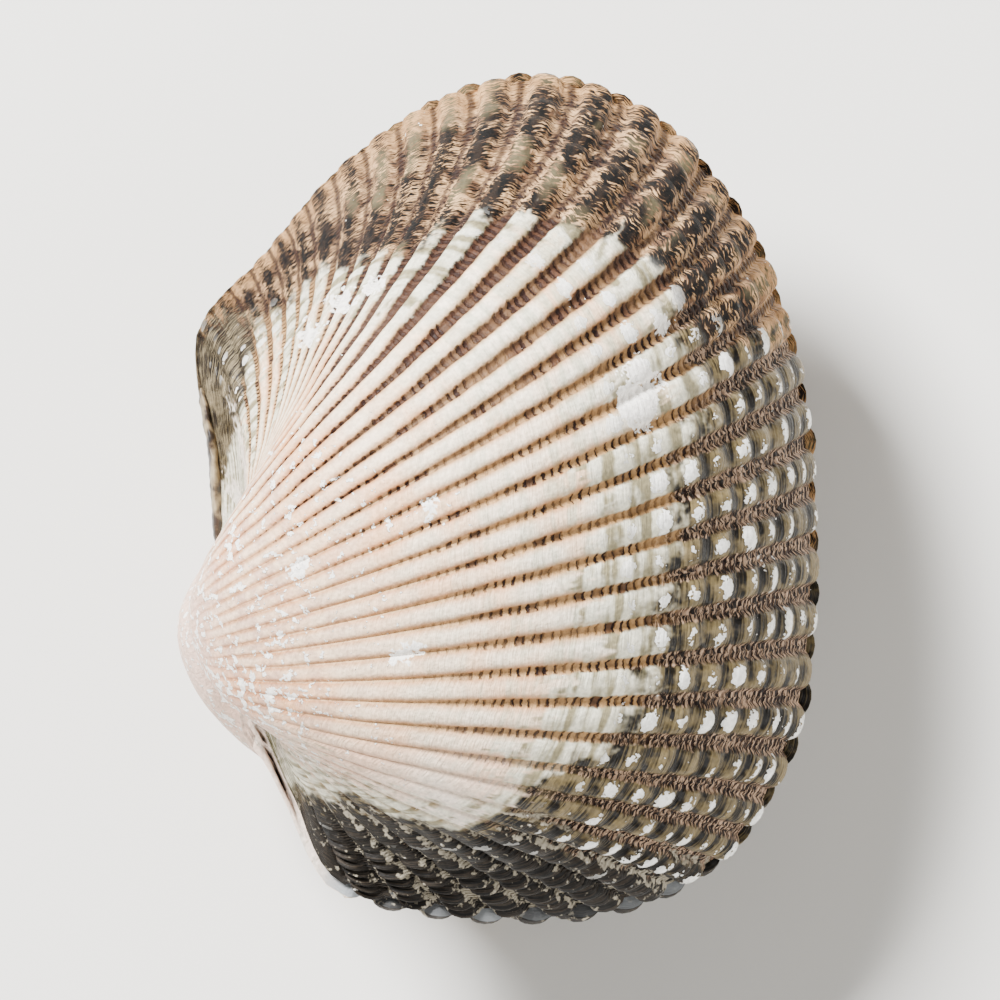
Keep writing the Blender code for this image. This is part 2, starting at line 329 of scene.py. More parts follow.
def marginColumns(shift):
    ribbed = []
    for rib in range(coil["ribNumbers"][-1]):
        columns = np.array(valve["fineColumns"] if rib < valve["fineRibs"] else valve["ribColumns"])
        ribbed.append(rib + np.sort(np.mod(columns - shift, 1.0)))
    ribbed = np.concatenate(ribbed)
    hinge = np.arange(valve["hingeSteps"] + 1) / valve["hingeSteps"]
    lengths = np.concatenate([ribPlace(ribbed), ribbedLength + hingeLength * hinge])
    numbers = np.concatenate([ribbed, coil["ribNumbers"][-1] + valve["hingeLines"] * hinge])
    return lengths, numbers


def growValve(name, side, shift, ledge, inset):
    lengths, numbers = marginColumns(shift)
    own = numbers + shift
    onHinge = (lengths - ribbedLength) / hingeLength  # 0 to 1 from the front, below 0 on the ribs
    plain = alongMargin(lengths)
    outwards = plain - np.array(valve["middle"])
    outwards /= np.linalg.norm(outwards, axis=-1, keepdims=True)
    bulgeAt, bulgeWidth, bulge = valve["bulge"]
    ledgeWeight = within(onHinge, valve["ledgeEnds"]) + bulge / valve["ledge"] * np.exp(
        -((onHinge - bulgeAt) / bulgeWidth) ** 2)
    lipWeight = np.where(onHinge < 0.0, np.interp(numbers, *zip(*valve["lipPlaces"])),
                         valve["lipPlaces"][-1][1] * rise(onHinge, valve["lipFade"]))
    standOut = (ledge * ledgeWeight - inset * lipWeight
                - valve["recess"] * within(onHinge, valve["recessEnds"]))

    def outside(step, shares):
        # the smooth outside, from the margin's points moved this many mm along it
        margin = alongMargin(lengths + step) + outwards * standOut[:, None]
        return grown(np.broadcast_to(margin, shares.shape + (2,)), shares)

    # rows from the beak to the margin
    fine = np.arange(0.0, valve["rungZone"], valve["rungRow"])
    tip = np.interp(-valve["tipShare"], -tableShares, tableDistance)
    coarse = np.linspace(valve["rungZone"], tip, int((tip - valve["rungZone"]) / valve["smoothRow"]))
    distance = np.concatenate([fine, coarse])[::-1]
    share = np.interp(distance, tableDistance, tableShares)
    shares = np.broadcast_to(share[:, None], (len(share), len(lengths)))
    base = outside(0.0, shares)
    across = outside(valve["sideStep"], shares) - outside(-valve["sideStep"], shares)
    normal = np.cross(outside(0.0, shares * valve["backStep"]) - base, across)
    normal /= np.linalg.norm(normal, axis=-1, keepdims=True)

    # ribs
    s, d = share[:, None], distance[:, None]

    def among(spans):
        # by rib number and mm from the margin
        return rise(numbers, spans[0]) * rise(d, spans[1])

    aside = np.abs(2.0 * np.mod(own, 1.0) - 1.0)  # 0 on a rib's crest, 1 in the groove
    onRibs = (onHinge < 0.0) * 1.0
    grooveStart = np.interp(d, *zip(*valve["grooveStart"])) - valve["rearGroove"] * within(
        numbers, valve["rearGrooveRibs"]) * rise(d, valve["rearGrooveZone"])
    edge = valve["ribEdge"][0] + (valve["ribEdge"][1] - valve["ribEdge"][0]) * (1.0 - s)
    wall = np.minimum(aside / (grooveStart + valve["ribFoot"]), 1.0)
    profile = (1.0 - wall ** edge) ** valve["ribRound"] - 0.5
    height = valve["fineRibHeight"] + (valve["ribHeight"] - valve["fineRibHeight"]) * rise(
        numbers, valve["ribsRise"])
    frontWorn = among(valve["frontWorn"])
    kept = rise(s, valve["ribsFade"][side]) * (1.0 - valve["frontWear"][0] * frontWorn)
    relief = profile * height * s * kept * onRibs

    # barrel swellings, ladder rungs, growth stops and lumps
    ribDice = np.random.default_rng(valve["diceSeed"]).random(64)[np.floor(own).astype(int)]
    barrels = d / valve["barrel"] + valve["barrelStray"] * ribDice
    swelling = 0.5 - np.abs(2.0 * np.mod(barrels, 1.0) - 1.0) ** valve["barrelRound"]
    relief += (swelling * valve["barrelHeight"] * rise(aside, valve["crest"]) * onRibs
               * among(valve["barrelPlaces"]))
    rungs = (d / valve["rungRow"] + np.floor(own + 0.5) * valve["rungShift"]) / valve["rungRows"]
    lowRow = np.mod(rungs + 0.05, 1.0) < 0.2  # the mesh row that a rung starts from
    relief -= (lowRow * valve["rungDepth"] * rise(aside, valve["trough"]) * onRibs
               * among(valve["rungPlaces"]))
    for stop, drop in valve["checks"]:
        behind = d - stop - valve["checkStray"] * ribDice
        relief += drop * within(behind, valve["checkSteps"]) * onRibs
    for size, amount in valve["lumps"]:
        noise = lumps(base, size, valve["lumpSeed"] * side + size)
        relief += amount * noise * rise(s, valve["lumpsRise"])
    points = base + normal * relief[..., None]

    # the seam: rib ends reach across it in turn
    tooth = valve["tooth"] * -np.cos(2.0 * np.pi * own) * onRibs * rise(numbers, valve["toothRibs"])
    points[-1, :, 2] = 0.0
    points[..., 2] = np.maximum(points[..., 2], 0.0)
    # a slit runs down the ledge, where the hinge side lies flat in the seam; the finish paints it near
    # black as painted shade
    slit = within(onHinge, valve["slitEnds"]) * (ledge > 0)
    out = np.full(points.shape[:-1], far)
    out[:, slit > 0.0] = -insideOf(points[:, slit > 0.0, :2], curve[:-1:3])
    slitOutside = slit * rise(np.abs(out - valve["slitOut"]), valve["slitWall"]) * rise(
        points[..., 2], valve["slitTop"])
    points[..., 2] += (valve["gap"] / 2 - tooth * rise(s, valve["toothRoot"])
                       + valve["slitDepth"] * slitOutside)

    # the rim and the bowl inside
    width = valve["rimWidth"] + (valve["hingePlate"] - valve["rimWidth"]) * within(
        onHinge, valve["plateEnds"])
    inner = plain - outwards * width[:, None]
    reach = np.linalg.norm(inner - points[-1, :, :2], axis=-1)
    pearly = rise(numbers, valve["pearlRibs"]) * (onHinge < valve["pearlEnd"]) * rise(
        ribDice, valve["pearlDice"])
    rings, insides, hinges, slits = [], [], [], []
    for step in valve["rimSteps"] + (far,):
        part = np.where(step < far, step / reach, 1.0)
        ring = points[-1, :, :2] * (1.0 - part)[:, None] + inner * part[:, None]
        cut = slit * rise(np.abs(step - standOut + valve["slitOut"]), valve["slitWall"])
        level = (valve["gap"] / 2 - tooth * (1.0 - valve["toothFade"] * part)
                 + valve["slitDepth"] * cut)
        rings.append(np.concatenate([ring, level[:, None]], axis=-1))
        stained = rise(step - np.maximum(standOut, 0.0), valve["stainedRim"])
        insides.append(1.0 - stained * (1.0 - pearly))
        hinges.append(rise(onHinge, valve["hornFrom"]))
        slits.append(cut)
    for bowlShare in valve["bowl"]:
        ring = grown(inner, np.full(len(lengths), bowlShare))
        pull = np.array(valve["bowlCentre"]) - ring
        pull *= valve["bowlPull"] * (1.0 - bowlShare) / np.linalg.norm(pull, axis=-1, keepdims=True)
        ring = ring + pull
        ring[:, 2] = np.maximum(ring[:, 2], 0.0) + valve["gap"] / 2
        rings.append(ring)
    rings.append(np.broadcast_to(rings[-1][:-1].mean(axis=0), rings[-1].shape))
    for values, value in ((insides, 1.0), (hinges, 0.0), (slits, 0.0)):
        values.extend([np.full_like(reach, value)] * (len(rings) - len(values)))
    beak = np.broadcast_to(points[0, :-1].mean(axis=0), points[:1].shape)
    everything = np.concatenate([beak, points, np.stack(rings)])
    everything[:, -1] = everything[:, 0]

    # what the finish reads
    plan = everything[..., :2] + np.array(zones["lean"]) * everything[..., 2:]
    planX, planY = plan[..., 0], plan[..., 1]
    whole = planX.shape

    def gridField(outer, inward=0.0):
        # 0 at the beak, one value on the outside and one on the rim and in the bowl
        return np.concatenate([np.zeros((1, len(lengths))), outer + np.zeros_like(relief),
                               np.broadcast_to(inward, (len(rings), len(lengths)))])

    distances = np.concatenate([[distance[0] + valve["tipGrowth"]], distance,
                                np.linspace(*valve["innerGrowth"], len(rings))])[:, None]
    growthMap = np.stack([np.broadcast_to(own, whole), np.broadcast_to(distances, whole)], axis=-1)
    pale = insideOf(plan, zones["pale"])
    chalk = np.full(whole, -far)
    marginCoat = -far
    if side > 0:
        for x, y, radius in zones["chalk"]:
            chalk = np.maximum(chalk, radius - np.hypot(planX - x, planY - y))
    else:
        pale = np.where(ledgeWeight > 0.01, np.maximum(pale, zones["paleLedge"] * ledgeWeight), pale)
        marginCoat = zones["marginCoat"] - distances - far * rise(numbers, zones["marginCoatEnd"])
    glassWidth = zones["glassWidth"]
    for more, steps, climb, lost in zones["glassParts"]:
        glassWidth = glassWidth + more * rise(planX, steps) * rise(planY, climb) * (
            1.0 - lost * rise(planY, zones["glassBehind"]))
    smoothBeak = 1.0 - valve["smoothBy"][side] * rise(d, valve["smoothFrom"][side])
    ladderEnd = valve["ladder"] + sum(more * rise(numbers, ribs) for more, ribs in valve["ladderMore"])
    fields = {
        "pale": pale,
        "glassy": ease(1.0 + pale / glassWidth),
        "fibre": np.maximum(insideOf(plan, zones["fibre"]), marginCoat),
        "front": insideOf(plan, zones["front"]),
        "corner": insideOf(plan, zones["corner"]),
        "chalk": chalk,
        "ledge": np.broadcast_to(np.clip(ledgeWeight, 0.0, 1.0) * (side < 0), whole),
        "rear": np.broadcast_to(within(numbers, zones["rear"]), whole),
        "inside": gridField(0.0, np.stack(insides)),
        "hinge": gridField(0.0, np.stack(hinges)),
        "slit": gridField(slitOutside, np.stack(slits)),
        "ribbed": gridField(rise(onHinge, valve["ribbedFade"]) * smoothBeak
                            * (1.0 - valve["frontWear"][1] * frontWorn)),
        "ladder": gridField(rise(d - ladderEnd, valve["ladderFade"]), 1.0),
        "rung": gridField(rungs),
        "barrel": gridField(barrels),
        "grooveStart": np.concatenate([grooveStart[:1], grooveStart,
                                       np.repeat(grooveStart[-1:], len(rings), axis=0)]),
    }
    everything[..., 2] *= side
    placed = settle(everything)
    placed[..., 2] = np.maximum(placed[..., 2], 0.0)  # worn flat where it lies
    piece = gridPiece(name, placed, growthMap, fields)
    print(name, "grown:", len(piece.data.polygons), "faces,", len(piece.data.vertices), "vertices")
    return piece


leftShell = growValve("leftShell", 1, 0.0, 0.0, valve["lip"])
rightShell = growValve("rightShell", -1, 0.5, valve["ledge"], 0.0)


# The ligament: a horny band over the seam behind the beaks
ligament = {
    "from": -3.2, "to": 6.4,  # along the hinge, mm
    "hingeSide": -10.0,  # points of the margin with x below this are on the hinge
    "clear": -0.24,  # off the valves' edges, which stay back to make room for it
    "width": 1.5,
    "thickness": 0.2,
    "rooted": 0.45,  # how far it reaches in between the valves
    "ends": 0.35,  # share of its size at its ends
    "stations": 90,
    "around": 28,
    "ridges": 0.012,  # height of its cross ridges
    "ridgeLength": 0.6,
    "lumps": (0.7, 2.0, 0.09),  # size, seed and height
}


def makeLigament():
    along = np.linspace(0.0, 1.0, ligament["stations"])
    height = ligament["from"] + (ligament["to"] - ligament["from"]) * along
    hinge = curve[curve[:, 0] < ligament["hingeSide"]]
    order = np.argsort(hinge[:, 1])
    seam = np.interp(height, hinge[order, 1], hinge[order, 0])
    taper = ligament["ends"] + (1.0 - ligament["ends"]) * np.sin(np.pi * along) ** 0.5
    angle = np.linspace(0.0, 2.0 * np.pi, ligament["around"] + 1)
    depth = np.where(np.cos(angle) > 0.0, ligament["thickness"], ligament["rooted"]) * np.cos(angle)
    back = depth[None, :] * taper[:, None]
    side = np.sin(angle)[None, :] * ligament["width"] / 2 * taper[:, None]
    ridge = np.sin(2.0 * np.pi * height / ligament["ridgeLength"])[:, None] * ligament["ridges"]
    back = back + np.maximum(np.cos(angle), 0.0) * ridge
    places = np.stack([seam[:, None] - ligament["clear"] - back,
                       height[:, None] + 0.0 * back, side], axis=-1)
    size, seed, amount = ligament["lumps"]
    places[..., [0, 2]] += amount * lumps(places, size, seed)[..., None]
    places[:, -1] = places[:, 0]
    ends = [np.broadcast_to(places[row, :-1].mean(axis=0), places[:1].shape) for row in (0, -1)]
    everything = np.concatenate([ends[0], places, ends[1]])
    sheet = np.stack(np.meshgrid(angle, np.concatenate([height[:1], height, height[-1:]])), axis=-1)
    return gridPiece("ligamentBand", settle(everything), sheet, {})


ligamentBand = makeLigament()
print("ligament shaped")


# Finishes
def fromHex(code):
    parts = [int(code[start:start + 2], 16) / 255 for start in (1, 3, 5)]
    return tuple(p / 12.92 if p <= 0.04045 else ((p + 0.055) / 1.055) ** 2.4 for p in parts) + (1.0,)


def addNode(tree, kind, settings=None, links=None):
    # settings go by property name, or by a socket's name or number; links by socket, from a node
    # or from a (node, output) pair; "ramp" fills a colour ramp
    node = tree.nodes.new("ShaderNode" + kind)
    for key, value in (settings or {}).items():
        if key == "ramp":
            marks = node.color_ramp.elements
            while len(marks) < len(value):
                marks.new(0.5)
            for mark, (place, code) in zip(marks, value):
                mark.position, mark.color = place, fromHex(code)
        elif isinstance(key, str) and hasattr(node, key):
            setattr(node, key, value)
        elif isinstance(value, str):
            node.inputs[key].default_value = fromHex(value)
        else:
            node.inputs[key].default_value = value
    for key, source in (links or {}).items():
        output = source[0].outputs[source[1]] if isinstance(source, tuple) else next(
            socket for socket in source.outputs if socket.enabled)
        tree.links.new(output, node.inputs[key])
    return node


def newMaterial(name):
    material = bpy.data.materials.new(name)
    material.use_nodes = True
    material.node_tree.nodes.clear()
    return material, partial(addNode, material.node_tree)


perMetre = 1.0 / mm  # a noise scale of perMetre / size has features of that many mm


# Aragonite shell, grown in layers: satin cream where it is bleached, olive and glossy where it is
# fresh, under a rough horny coat behind. It gives the eye ribs, rungs, barrels and white ovals.
aragonite = {
    # mottles: size in mm and noise detail
    "mottles": {"wide": (5, 1.5), "patch": (1.3, 2.5), "grain": (0.28, 1), "chip": (0.55, 2.5)},
    "noiseRough": 0.6,
    # how far each pattern strays with the wide mottle, the patches and the grain
    "strays": {
        "rib": (0, 0.16, 0), "rung": (0, 0.9, 0.5), "barrel": (0.5, 0, 0),
        "oval": (0, 4.4, 2.6), "glass": (0, 0.5, 0), "fresh": (0, 0.35, 0),
        "fleck": (0, 0.3, 0.25), "coat": (0.3, 0.28, 0), "corner": (0, 0.5, 0),
        "glassEdge": (0, 1.5, 0), "chip": (0.35, 0, 0), "chalk": (0, 3.4, 1.2),
        "relief": (0, 0, 0.05),
    },
    "grooveEdge": 0.16,  # softness of a groove's edge
    # streaks: noise scales across, in ribs, and along, in mm, then noise detail
    "streaks": {"line": ((1, 5.2, 1), 2), "band": ((0.5, 1.3, 1), 1),
                "stroke": ((4.2, 6, 1), 2.5), "thread": ((5, 0.6, 1), 1)},
    # how much of one thing is added to another
    "more": {
        "ragged": 0.22,  # grain at a groove's edge
        "bow": 0.25, "chevron": 0.7,  # mm that lines and strokes bend back at a rib's sides
        "streakShift": 17,  # so that no line runs on to the next rib
        "rearTick": 0.09, "rearMilk": 0.08, "rearBead": 0.28,  # more of each behind
        "ledgeBleach": 0.62, "glassSwelling": 0.24, "freshSwelling": 0.22,  # lighter there
        "fleckRow": 0.2, "goldenCoat": 0.1, "chipHeight": 0.06,
        "threadEdge": 5, "glassDice": 0.25,  # how unevenly zones end
    },
    "ovalSize": (4.3, 3.7),  # one over its half length, in swellings, and half width, in ribs
    "beakDistance": 55,  # mm that the rib and groove colours run over
    "rearStained": 0.95,
    "ribless": (-0.7, 0.7),  # share of the worn colour: less with the ribs, and most of it
    "mottledEdge": 3.4,  # mm that the zones' edges stray
    "ribEnd": (3.4, -2.4),  # mm that a rib's cream runs on: with its dice, and from here
    "ior": 1.31,
    # soft and even steps: from, to, and the values there where they aren't 0 and 1
    "soft": {
        "tick": (0.26, 0.42), "oval": (-0.04, 0.12), "ovalBack": (18, 22, 1, 0),
        "ovalFibre": (-1.5, 2.5, 1, 0), "ovalFront": (0.5, 2.5, 1, 0),
        "swelling": (0.12, 0.44, 1, 0), "blush": (0.4, 0.66),
        "milkPlace": (20, 38, 0.7, 0), "milk": (0.46, 0.66),
        "mottlePlace": (30, 42, 0, 0.55), "mottle": (0.42, 0.62),
        "beadPatch": (0.34, 0.52, 0.5, 1), "wornPlace": (26, 38), "glass": (0.46, 0.76),
        "fresh": (0.46, 0.82), "blotch": (0.5, 0.66, 0, 0.5), "tan": (0.46, 0.58),
        "front": (0.42, 0.64), "fleckAside": (0.35, 0.7), "fleck": (0.63, 0.75),
        "golden": (1, 6, 0.7, 0), "coat": (-0.01, 0.1), "coatTan": (0.4, 0.62),
        "coatDark": (0.44, 0.6), "bare": (0.52, 0.64, 0, 0.8), "bareAside": (0.25, 0.6, 1, 0),
        "coatSeam": (0.76, 0.94, 0, 0.8), "corner": (0.44, 0.62), "ribEnd": (34, 26),
        "paleZone": (-0.9, 0.9), "glassZone": (0.25, 0.7), "glassEnd": (0.02, 0.15),
        "fibreZone": (-1, 1), "frontZone": (-0.8, 0.8), "cornerZone": (-1.2, 1.2),
        "chipPlace": (24, 44, 0.76, 0.56), "chip": (0, 0.03), "chalk": (-0.05, 0.1),
        "hinge": (0.4, 0.62),
    },
    "even": {
        "oval": (0.3, 1, 0, 1.1), "tickDice": (0, 0.45, 0.35, 1),
        "bead": (0.55, 0.9, 0, 0.9), "fleckDice": (0.3, 0.6, 0.25, 1),
        "coatNeed": (0.1, 0.6, 0.57, 0.45), "speck": (0.32, 0.68, 0.8, 1.1),
        "rough": (0, 1, 0.34, 0.5),
    },
    "paintedSideShade": (0.22, 0.85),  # where across the rib its sides begin to darken, and how much: painted shade on the rib walls
    # colours: from the margin back to the beak, laid over another, and between two
    "rib": ((0, "#d3ccb2"), (0.2, "#e8e3ce"), (0.36, "#fcf1dc"), (0.52, "#fce9cf"),
            (0.7, "#f5d5b2"), (0.92, "#e4c0a8")),
    # the grooves' tan is partly their own colour and partly painted shade deep between the ribs
    "groove": ((0, "#7a5840"), (0.3, "#ab8455"), (0.5, "#b68e60"), (0.62, "#c6a075"),
               (0.72, "#cfa680"), (0.9, "#c99e84")),
    # the side colour is painted shade on the rib walls; blush is the shell's own tint
    "shades": {"side": "#c09563", "blush": "#fbe0cb"},
    "over": {
        "rearStain": "#42291e", "golden": "#b78a58", "mottle": "#c39c8c", "milk": "#c9c9b0",
        "tick": "#26120b", "bead": "#4a2e1f", "blotch": "#85744f", "fleck": "#a39a87",
        "bare": "#655c42", "oval": "#fffdf6", "chalk": "#fdf8f0", "pearl": "#919496",
        "slit": "#120806",
    },
    "pairs": {
        "glass": ("#8d8466", "#e4dfc8"), "fresh": ("#0a0603", "#766747"),
        "tan": ("#150c07", "#b8987c"), "front": ("#080604", "#30281f"),
        "worn": ("#ebdcd2", "#e3c2b0"), "coatDark": ("#040201", "#1e140d"),
        "coatTan": ("#6f5039", "#cca274"), "corner": ("#1f1914", "#8c7e62"),
        "hinge": ("#2b1f15", "#75644c"),
    },
    # roughness, laid over in turn
    "roughness": {"front": 0.55, "coat": 0.8, "groove": 0.62, "oval": 0.18, "white": 0.75,
                  "inside": 0.25},
    # height of the relief, mm
    "heights": {"line": 0.07, "stroke": 0.1, "tick": -0.09, "oval": 0.07},
}


def makeShellFinish():
    look = aragonite
    material, add = newMaterial("ribbedAragonite")
    maths, mix, fit = "Math", "Mix", "MapRange"
    plus, minus, times, product, floor, fraction, size = (
        {"operation": word} for word in ("ADD", "SUBTRACT", "MULTIPLY", "MULTIPLY_ADD", "FLOOR", "FRACT",
                                         "ABSOLUTE"))
    square, half = {"operation": "POWER", 1: 2}, {**minus, 1: 0.5}
    smooth, twoWay = {"interpolation_type": "SMOOTHSTEP"}, {"noise_dimensions": "2D"}
    soft = {title: {**smooth, **dict(enumerate(values, 1))}
            for title, values in look["soft"].items()}
    even = {title: dict(enumerate(values, 1)) for title, values in look["even"].items()}
    tint = {"data_type": "RGBA"}
    shade = {**tint, "blend_type": "MULTIPLY"}
    over = {title: {**tint, 7: code} for title, code in look["over"].items()}
    over.update({title: {**shade, 7: code} for title, code in look["shades"].items()})
    pair = {title: {**tint, 6: low, 7: high} for title, (low, high) in look["pairs"].items()}
    more = {title: {**product, 1: amount} for title, amount in look["more"].items()}
    noiseRough = {"Roughness": look["noiseRough"]}

    place = (add("TexCoord"), "Object")
    growth = add("SeparateXYZ", {}, {0: add("UVMap", {"uv_map": "growth"})})
    field = {title: (add("Attribute", {"attribute_name": title}), "Fac")
             for title in ("pale", "glassy", "fibre", "front", "corner", "chalk", "inside", "hinge",
                           "slit", "ledge", "rung", "barrel", "ribbed", "ladder", "rear", "grooveStart")}
    back = (growth, "Y")  # mm from the margin

    # mottles
    wide, patch, grain, chip = (
        add("TexNoise", {**noiseRough, "Scale": perMetre / width, "Detail": detail}, {0: place})
        for width, detail in look["mottles"].values())
    offs = [add(maths, half, {0: noise}) for noise in (wide, patch, grain)]

    def strayed(title, value):
        # the value, shifted by its share of each mottle
        for off, amount in zip(offs, look["strays"][title]):
            if amount:
                value = add(maths, {**product, 1: amount}, {0: off, 2: value})
        return value

    # across a rib: 0 on the crest, 1 in the groove
    number = strayed("rib", (growth, "X"))
    ribIndex = add(maths, floor, {0: number})
    ribDice = add("TexWhiteNoise", {"noise_dimensions": "1D"}, {"W": ribIndex})
    local = add(maths, half, {0: add(maths, fraction, {0: number})})
    aside = add(maths, {**times, 1: 2.0}, {0: add(maths, size, {0: local})})
    ragged = add(maths, more["ragged"], {0: offs[2], 2: aside})
    grooveTo = add(maths, {**plus, 1: look["grooveEdge"]}, {0: field["grooveStart"]})
    groove = add(fit, smooth, {0: ragged, 1: field["grooveStart"], 2: grooveTo})
    groove = add(maths, times, {0: groove, 1: field["ribbed"]})

    # beads in the grooves, with a dark tick between each and the next
    rungPlace = strayed("rung", field["rung"])
    rungLocal = add(maths, half, {0: add(maths, fraction, {0: rungPlace})})
    rungAside = add(maths, size, {0: rungLocal})
    rungAside = add(maths, more["rearTick"], {0: field["rear"], 2: rungAside})
    rung = add(fit, soft["tick"], {0: rungAside})
    beadCell = add("CombineXYZ", {}, {
        0: add(maths, {"operation": "ROUND"}, {0: number}), 1: add(maths, floor, {0: rungPlace})})
    beadDice = add("TexWhiteNoise", twoWay, {0: beadCell})

    # growth lines, bowed over each rib; coat strokes, bent into chevrons
    ownNumber = add(maths, more["streakShift"], {0: ribDice, 2: number})
    bow = add(maths, more["bow"], {0: add(maths, square, {0: aside}), 2: back})
    chevron = add(maths, more["chevron"], {0: aside, 2: back})
    streak = {}
    for title, (scales, detail) in look["streaks"].items():
        spot = add("CombineXYZ", {}, {0: ownNumber, 1: chevron if title == "stroke" else bow})
        spot = add("VectorMath", {**times, 1: scales}, {0: spot})
        streak[title] = add("TexNoise", {**noiseRough, "Scale": 1.0, "Detail": detail}, {0: spot})

    # white ovals on the swellings, of many sizes, each a little off its place: partly the shell's own
    # white, partly painted highlight
    ovalOff = strayed("barrel", field["barrel"])
    ovalBack = add(maths, half, {0: add(maths, fraction, {0: ovalOff})})
    ovalCell = add("CombineXYZ", {}, {0: ribIndex, 1: add(maths, floor, {0: ovalOff})})
    ovalDice = add("TexWhiteNoise", twoWay, {0: ovalCell})
    reaches = [add(maths, square, {0: add(maths, size, {0: add(maths, {**times, 1: scale}, {0: way})})})
               for scale, way in zip(look["ovalSize"], (ovalBack, local))]
    reach = strayed("oval", add(maths, plus, {0: reaches[0], 1: reaches[1]}))
    ovalLimit = add(fit, even["oval"], {0: ovalDice})
    oval = add(fit, soft["oval"], {0: add(maths, minus, {0: ovalLimit, 1: reach})})
    for stop in (add(fit, soft["ovalBack"], {0: back}), field["ribbed"],
                 add(fit, soft["ovalFibre"], {0: field["fibre"]}),
                 add(fit, soft["ovalFront"], {0: field["front"]})):
        oval = add(maths, times, {0: oval, 1: stop})
    swelling = add(fit, soft["swelling"], {0: add(maths, size, {0: ovalBack})})

    # bleached shell, from the margin back to the beak
    backShare = add(maths, {"operation": "DIVIDE", 1: look["beakDistance"]}, {0: back})
    backShare = add(maths, more["ledgeBleach"], {0: field["ledge"], 2: backShare})
    creamRib = add("ValToRGB", {"ramp": look["rib"]}, {0: backShare})
    creamGroove = add("ValToRGB", {"ramp": look["groove"]}, {0: backShare})
    stained = add(maths, {**times, 1: look["rearStained"]}, {0: field["rear"]})
    stained = add(maths, times, {0: field["ladder"], 1: stained})
    creamGroove = add(mix, over["rearStain"], {0: stained, 6: creamGroove})
    creamRib = add(mix, over["blush"], {0: add(fit, soft["blush"], {0: wide}), 6: creamRib})
    milkOver = add(maths, more["rearMilk"], {0: field["rear"], 2: streak["band"]})
    for title, noise in (("milk", milkOver), ("mottle", patch)):
        strength = add(maths, times, {0: add(fit, soft[title + "Place"], {0: back}),
                                      1: add(fit, soft[title], {0: noise})})
        creamRib = add(mix, over[title], {0: strength, 6: creamRib})
    # painted shading: the rib walls turn tan towards the groove, so the crests read as lit
    sideFrom, sideMost = look["paintedSideShade"]
    paintedSideShade = add(fit, {**smooth, 1: sideFrom, 3: 0.0, 4: sideMost}, {0: aside, 2: grooveTo})
    paintedSideShade = add(maths, times, {0: paintedSideShade, 1: field["ribbed"]})
    creamRib = add(mix, over["side"], {0: paintedSideShade, 6: creamRib})
    beadPatch = add(fit, soft["beadPatch"], {0: wide})
    rungStrength = add(maths, times, {0: field["ladder"], 1: beadPatch})
    tickDice = add(fit, even["tickDice"], {0: beadDice})
    rungDark = add(maths, times, {0: rung, 1: add(maths, times, {0: rungStrength, 1: tickDice})})
    beadRandom = add(maths, more["rearBead"], {0: field["rear"], 2: (beadDice, "Color")})
    beadDark = add(maths, times, {0: add(fit, even["bead"], {0: beadRandom}), 1: rungStrength})
    creamGroove = add(mix, over["bead"], {0: beadDark, 6: creamGroove})
    creamGroove = add(mix, over["tick"], {0: rungDark, 6: creamGroove})
    # grooves take their tan: partly their own colour, partly painted shade
    cream = add(mix, tint, {0: groove, 6: creamRib, 7: creamGroove})
    ribless = add(maths, {**product, 1: look["ribless"][0], 2: look["ribless"][1]}, {0: field["ribbed"]})
    worn = add(mix, pair["worn"], {0: add(fit, soft["wornPlace"], {0: back})})
    cream = add(mix, tint, {0: ribless, 6: cream, 7: worn})

    # glassy grey-green stretch at the end of the bleached ribs, whiter on the swellings
    glassOver = add(maths, more["glassSwelling"], {0: swelling, 2: streak["band"]})
    glassOver = strayed("glass", glassOver)
    glassRib = add(mix, pair["glass"], {0: add(fit, soft["glass"], {0: glassOver})})
    glass = add(mix, tint, {0: groove, 6: glassRib, 7: creamGroove})

    # fresh shell near the margin: fine growth lines, lighter on the swellings, tan flecks between
    freshOver = add(maths, more["freshSwelling"], {0: swelling, 2: streak["line"]})
    freshOver = strayed("fresh", freshOver)
    freshRib = add(mix, pair["fresh"], {0: add(fit, soft["fresh"], {0: freshOver})})
    freshRib = add(mix, over["blotch"], {0: add(fit, soft["blotch"], {0: patch}), 6: freshRib})
    freshGroove = add(mix, pair["tan"], {0: add(fit, soft["tan"], {0: streak["stroke"]})})
    freshGroove = add(mix, over["tick"], {0: rungDark, 6: freshGroove})
    fresh = add(mix, tint, {0: groove, 6: freshRib, 7: freshGroove})

    # the dark front end, with pale flecks along the ribs
    frontRib = add(mix, pair["front"], {0: add(fit, soft["front"], {0: streak["line"]})})
    fleckRow = add(maths, times, {0: add(fit, soft["fleckAside"], {0: aside}),
                                  1: add(fit, even["fleckDice"], {0: ribDice})})
    fleckOver = add(maths, more["fleckRow"], {0: fleckRow, 2: strayed("fleck", chip)})
    front = add(mix, over["fleck"], {0: add(fit, soft["fleck"], {0: fleckOver}), 6: frontRib})

